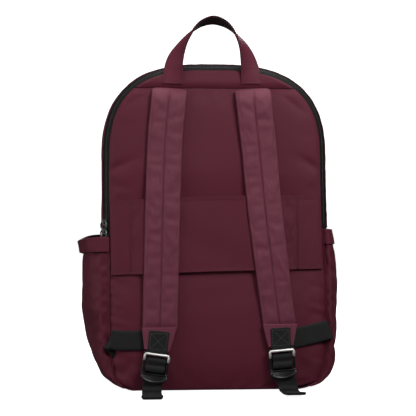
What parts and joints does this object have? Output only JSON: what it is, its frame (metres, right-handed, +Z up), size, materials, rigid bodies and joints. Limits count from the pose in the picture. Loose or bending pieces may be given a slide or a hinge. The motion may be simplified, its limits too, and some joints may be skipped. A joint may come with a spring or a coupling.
{
  "type": "travel backpack",
  "caption": "Soft travel backpack with padded shoulder straps, top handle, luggage-handle sleeve, wrap-round zip and open side pockets, standing on its base.",
  "frame": {"origin": "middle of the base, on the surface that the bag stands on", "axes": "+Z up, -Y towards the wearer's side with the harness, +X to the right when that side is looked at"},
  "size_m": [0.3344, 0.2326, 0.4811],
  "materials": {
    "shell_fabric": "smooth burgundy satin-weave polyester",
    "strap_lining": "burgundy spacer mesh",
    "black_webbing": "woven polyester webbing",
    "zip_tape": "knitted zip tape and nylon coil",
    "zip_hardware": "black lacquered die-cast metal",
    "black_plastic": "moulded acetal with a fine satin surface",
    "bright_metal": "polished plated wire",
    "foam": "closed-cell foam",
    "lining": "thin grey lining",
    "board": "ribbed polypropylene board"
  },
  "bodies": {
    "root": {"back_foam_pad": "foam", "back_lining": "lining", "back_panel_cover": "shell_fabric", "base_board": "board", "base_panel": "shell_fabric", "front_panel": "shell_fabric", "front_pocket_panel": "shell_fabric", "front_zip_coil": "zip_tape", "front_zip_tape": "zip_tape", "handle_foot_left": "shell_fabric", "handle_foot_right": "shell_fabric", "interior_lining": "lining", "laptop_sleeve": "lining", "left_anchor_webbing": "black_webbing", "left_pocket_elastic": "black_webbing", "left_pocket_hem": "shell_fabric", "left_pocket_panel": "shell_fabric", "left_side_panel": "shell_fabric", "right_anchor_webbing": "black_webbing", "right_pocket_elastic": "black_webbing", "right_pocket_hem": "shell_fabric", "right_pocket_panel": "shell_fabric", "right_side_panel": "shell_fabric", "top_gusset": "shell_fabric", "trolley_sleeve": "shell_fabric", "yoke_panel": "shell_fabric", "zip_coil": "zip_tape", "zip_tape_inner": "zip_tape", "zip_tape_outer": "zip_tape"},
    "handle": {"handle_loop": "shell_fabric", "handle_lining": "black_webbing"},
    "left_strap": {"left_strap_cover": "shell_fabric", "left_strap_backing": "strap_lining", "left_strap_foam": "foam", "left_end_tab": "shell_fabric", "left_strap_webbing_loop": "black_webbing"},
    "left_buckle": {"left_ladder_lock": "black_plastic", "left_buckle_bar": "bright_metal", "left_webbing_tail": "black_webbing"},
    "right_strap": {"right_strap_cover": "shell_fabric", "right_strap_backing": "strap_lining", "right_strap_foam": "foam", "right_end_tab": "shell_fabric", "right_strap_webbing_loop": "black_webbing"},
    "right_buckle": {"right_ladder_lock": "black_plastic", "right_buckle_bar": "bright_metal", "right_webbing_tail": "black_webbing"},
    "lower_zip_slider": {"lower_zip_slider": "zip_hardware"},
    "upper_zip_slider": {"upper_zip_slider": "zip_hardware"},
    "front_zip_slider": {"front_zip_slider": "zip_hardware"},
    "lower_zip_pull": {"lower_zip_pull": "zip_hardware"},
    "upper_zip_pull": {"upper_zip_pull": "zip_hardware"},
    "front_zip_pull": {"front_zip_pull": "zip_hardware"}
  },
  "joints": [
    {"name": "handle_fold", "type": "hinge", "parent": "root", "child": "handle", "pos_m": [0, -0.0797, 0.4247], "axis": [1, 0, 0], "range_deg": [-65, 65]},
    {"name": "left_strap_swing", "type": "hinge", "parent": "root", "child": "left_strap", "pos_m": [0, -0.0797, 0.3865], "axis": [-1, 0, 0], "range_deg": [0, 25]},
    {"name": "left_buckle_tilt", "type": "hinge", "parent": "left_strap", "child": "left_buckle", "pos_m": [-0.073, -0.0935, 0.0507], "axis": [-1, 0, 0], "range_deg": [0, 50]},
    {"name": "right_strap_swing", "type": "hinge", "parent": "root", "child": "right_strap", "pos_m": [0, -0.0797, 0.3865], "axis": [-1, 0, 0], "range_deg": [0, 25]},
    {"name": "right_buckle_tilt", "type": "hinge", "parent": "right_strap", "child": "right_buckle", "pos_m": [0.0845, -0.0935, 0.0548], "axis": [-1, 0, 0], "range_deg": [0, 50]},
    {"name": "lower_slider_slide", "type": "slide", "parent": "root", "child": "lower_zip_slider", "axis": [0, 0, 1], "range_m": [0, 0.045]},
    {"name": "upper_slider_slide", "type": "slide", "parent": "lower_zip_slider", "child": "upper_zip_slider", "axis": [0, 0, 1], "range_m": [0, 0.045]},
    {"name": "lower_pull_swing", "type": "hinge", "parent": "lower_zip_slider", "child": "lower_zip_pull", "pos_m": [-0.14068, -0.07628, 0.2062], "axis": [-0.7071, 0.7071, 0], "range_deg": [0, 110]},
    {"name": "upper_pull_swing", "type": "hinge", "parent": "upper_zip_slider", "child": "upper_zip_pull", "pos_m": [-0.14068, -0.07628, 0.2168], "axis": [-0.7071, 0.7071, 0], "range_deg": [0, 110]},
    {"name": "front_slider_slide", "type": "slide", "parent": "root", "child": "front_zip_slider", "axis": [1, 0, 0], "range_m": [0, 0.175]},
    {"name": "front_pull_swing", "type": "hinge", "parent": "front_zip_slider", "child": "front_zip_pull", "pos_m": [-0.09, 0.08104, 0.24334], "axis": [0, -0.7071, 0.7071], "range_deg": [0, 110]}
  ]
}
